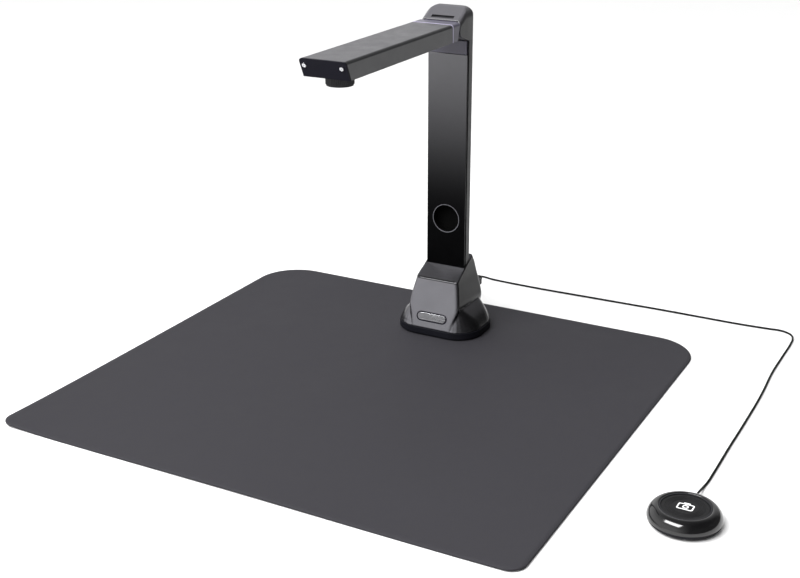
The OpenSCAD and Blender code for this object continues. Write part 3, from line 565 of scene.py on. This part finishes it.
# The cuts through the base, each as its low and high corner
CHANNEL = (-24.1, -8.5, 5), (24.1, 4.6, 100)
USB_HOLE = (5.5, 20, 38.4), (20.5, 40, 46)
INLET_HOLE = (-19.3, 20, 38.4), (-6.7, 40, 49.8)
VOXEL = 0.55

# Each level is (height, half width, front y, back y, front corner's radius across,
# the same along, back corner's radius)
BODY_LEVELS = [
    (11, 25.4, front_y(11), 29, 5, 2.6, 5), (20, 26.8, front_y(20), 29, 5, 2.6, 5),
    (27, 28.8, front_y(27), 29, 5, 2.8, 5), (33, 30.4, front_y(33), 29, 5, 3, 6),
    (38, 30.8, front_y(38), 28.6, 5.5, 3, 6), (46, 29.7, front_y(46), 27.8, 6, 3, 6),
    (55, 28, front_y(55), 26.3, 6, 3, 6), (65.4, 25.9, front_y(65.4), 24, 6, 3, 5.5),
    (76, 25, front_y(76), 20, 5, 3, 4.5), (84, 24.8, front_y(84), 14.5, 4, 3, 3.5),
    (92, 24.7, front_y(92), 9, 3, 3, 3),
]
SKIRT_LEVELS = [
    (11, 49.4, -44.9, 31.4, 29.4, 29.4, 29.4), (14, 48.2, -43.6, 30.2, 27.5, 27.5, 27.5),
    (18, 46.1, -42.4, 28.8, 25, 25, 25), (23.5, 42.3, -40.4, 27, 21, 21, 21),
    (29, 36.8, -37.8, 25, 15, 15, 15), (33.5, 31.8, -35.3, 23, 10, 10, 10),
    (38, 27, -32.8, 21, 7, 7, 7),
]


def finer(levels, step=1.5):
    """More levels between the given ones, on a smooth curve through them."""
    made = []
    for n in range(len(levels) - 1):
        p0, p1, p2, p3 = (levels[min(max(k, 0), len(levels) - 1)]
                          for k in (n - 1, n, n + 1, n + 2))
        parts = max(1, round((p2[0] - p1[0]) / step))
        for i in range(parts):
            t = i / parts
            made.append(tuple(
                0.5 * (2 * b + (c - a) * t + (2 * a - 5 * b + 4 * c - d) * t * t
                       + (3 * b - a - 3 * c + d) * t ** 3)
                for a, b, c, d in zip(p0, p1, p2, p3)))
    return made + [levels[-1]]


def level_ring(level, steps=8):
    """Points round one level: a rectangle with round corners."""
    z, half, front, back, rx, ry, rb = level
    ring = []
    for q in range(4):
        side = 1 if q in (0, 3) else -1
        across, along = (rb, rb) if q < 2 else (rx, ry)
        cy = back - rb if q < 2 else front + ry
        for i in range(steps + 1):
            a = math.radians(90 * (q + i / steps))
            ring.append((side * (half - across) + across * math.cos(a),
                         cy + along * math.sin(a), z))
    return ring


def loft(name, levels):
    rings = [level_ring(l) for l in finer(levels)]
    n = len(rings[0])
    verts = [p for ring in rings for p in ring]
    faces = grid_faces(len(rings), n, wrap=True)
    faces += [tuple(range(n)), tuple((len(rings) - 1) * n + i for i in reversed(range(n)))]
    return add_mesh(name, verts, faces, None, None, None)


def block(name, low, high):
    verts = [(x, y, z) for x in (low[0], high[0]) for y in (low[1], high[1])
             for z in (low[2], high[2])]
    faces = [(0, 1, 3, 2), (4, 6, 7, 5), (0, 4, 5, 1), (2, 3, 7, 6), (0, 2, 6, 4), (1, 5, 7, 3)]
    return add_mesh(name, verts, faces, None, None, None, smooth=False)


def combine(obj, other, how):
    """Applies a boolean of other to obj, and removes other."""
    step = obj.modifiers.new(how, "BOOLEAN")
    step.operation = how
    step.solver = "EXACT"
    step.object = other
    apply_all(obj)
    bpy.data.objects.remove(other)


def apply_all(obj):
    """Turns obj's modifiers into plain mesh."""
    ready = obj.evaluated_get(bpy.context.evaluated_depsgraph_get())
    mesh = bpy.data.meshes.new_from_object(ready)
    obj.modifiers.clear()
    obj.data = mesh


def make_base():
    obj = loft("base_housing", BODY_LEVELS)
    combine(obj, loft("skirt", SKIRT_LEVELS), "UNION")
    top = block("top", (-120, -120, 0), (120, 180, 120))
    top.matrix_world = (Matrix.Translation(mm(0, BASE_FRONT_Y, BASE_FRONT_H))
                        @ Matrix.Rotation(math.radians(TOP_SLOPE), 4, "X"))
    combine(obj, top, "DIFFERENCE")
    remesh = obj.modifiers.new("even", "REMESH")
    remesh.mode = "VOXEL"
    remesh.voxel_size = VOXEL * MM
    remesh.adaptivity = 0
    soft = obj.modifiers.new("soft", "SMOOTH")
    soft.factor = 0.5
    soft.iterations = 8
    apply_all(obj)
    for name, corners in (("channel", CHANNEL), ("usb_hole", USB_HOLE),
                          ("inlet_hole", INLET_HOLE)):
        combine(obj, block(name, *corners), "DIFFERENCE")
    for face in obj.data.polygons:
        face.use_smooth = True
    obj.data.materials.clear()
    obj.data.materials.append(MATERIALS["base_plastic"])
    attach(obj, ROOT)
    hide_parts("base_shell")


make_base()


# ---- Light seam between the arm and its knuckle ----

ARM_W, ARM_BOTTOM, ARM_TOP, ARM_R = 49, 334.7, 353.0, 3.5


def make_seam():
    """Thin sleeve round the arm's top and sides, just proud of them."""
    proud, width, front = 0.12, 1.3, -46.2
    outline = []
    steps = 8
    for side in (1, -1):
        half = [(side * (ARM_W / 2 + proud), ARM_BOTTOM)]
        for i in range(steps + 1):
            a = math.radians(90 * i / steps)
            half.append((side * (ARM_W / 2 - ARM_R + (ARM_R + proud) * math.cos(a)),
                         ARM_TOP - ARM_R + (ARM_R + proud) * math.sin(a)))
        outline += half[::side]
    rings = []
    for y, shrink in ((front, 0.5), (front, 0), (front + width, 0), (front + width, 0.5)):
        rings.append([(x - math.copysign(shrink, x), y, z - shrink * (z > ARM_TOP - 2))
                      for x, z in outline])
    verts = [p for ring in rings for p in ring]
    faces = grid_faces(4, len(outline))
    count = len(outline)
    faces += [(i, i + 1, 3 * count + i + 1, 3 * count + i) for i in range(count - 1)]
    faces += [(0, count, 2 * count, 3 * count),
              (count - 1, 4 * count - 1, 3 * count - 1, 2 * count - 1)]
    add_mesh("knuckle_seam", verts, faces, "seam_light", "arm", None)


make_seam()


# ---- Studio ----

FLOOR_HALF = 25000


def make_floor():
    floor = block("floor", (-FLOOR_HALF, -FLOOR_HALF, -20), (FLOOR_HALF, FLOOR_HALF, -0.05))
    floor.data.materials.append(
        material("floor", (0.58, 0.58, 0.58), 0.6, scale=3, spread=0.006, bump=0.0, spec=0.1))


def make_light(name, place, target, size, power):
    data = bpy.data.lights.new(name, "AREA")
    data.shape = "RECTANGLE"
    data.size, data.size_y = size
    data.energy = power
    obj = bpy.data.objects.new(name, data)
    bpy.context.scene.collection.objects.link(obj)
    obj.location = Vector(place)
    obj.rotation_euler = (Vector(target) - Vector(place)).to_track_quat("-Z", "Y").to_euler()


def make_world():
    """Studio that is pale at the horizon, dim overhead, and dimmer on the right."""
    world = bpy.data.worlds.new("studio")
    bpy.context.scene.world = world
    world.use_nodes = True
    tree = world.node_tree
    back = tree.nodes["Background"]
    coord = tree.nodes.new("ShaderNodeTexCoord")
    split = tree.nodes.new("ShaderNodeSeparateXYZ")
    tree.links.new(coord.outputs["Generated"], split.inputs["Vector"])
    by_height = map_range(tree, split.outputs["Z"], 0.35, 0.9, 1.0, 0.22)
    by_side = map_range(tree, split.outputs["X"], -0.2, 0.5, 1.12, 0.12)
    strength = math_node(tree, "MULTIPLY", by_height, by_side)
    tree.links.new(strength, back.inputs["Strength"])
    back.inputs["Color"].default_value = (1, 1, 1, 1)


def make_sun(name, direction, strength, angle):
    """Very soft light from all over the sky, which leaves no glint."""
    data = bpy.data.lights.new(name, "SUN")
    data.energy = strength
    data.angle = math.radians(angle)
    obj = bpy.data.objects.new(name, data)
    bpy.context.scene.collection.objects.link(obj)
    obj.rotation_euler = Vector(direction).to_track_quat("-Z", "Y").to_euler()
    obj.visible_glossy = False


make_floor()
make_world()
make_sun("sky", direction=(0.45, 0.3, -1), strength=4.4, angle=100)
make_light("key", place=(-0.3, -1.35, 1.65), target=(0.2, -0.2, 0.05), size=(1.6, 0.8),
           power=68)

scene = bpy.context.scene
scene.view_settings.view_transform = "Standard"
scene.view_settings.look = "None"
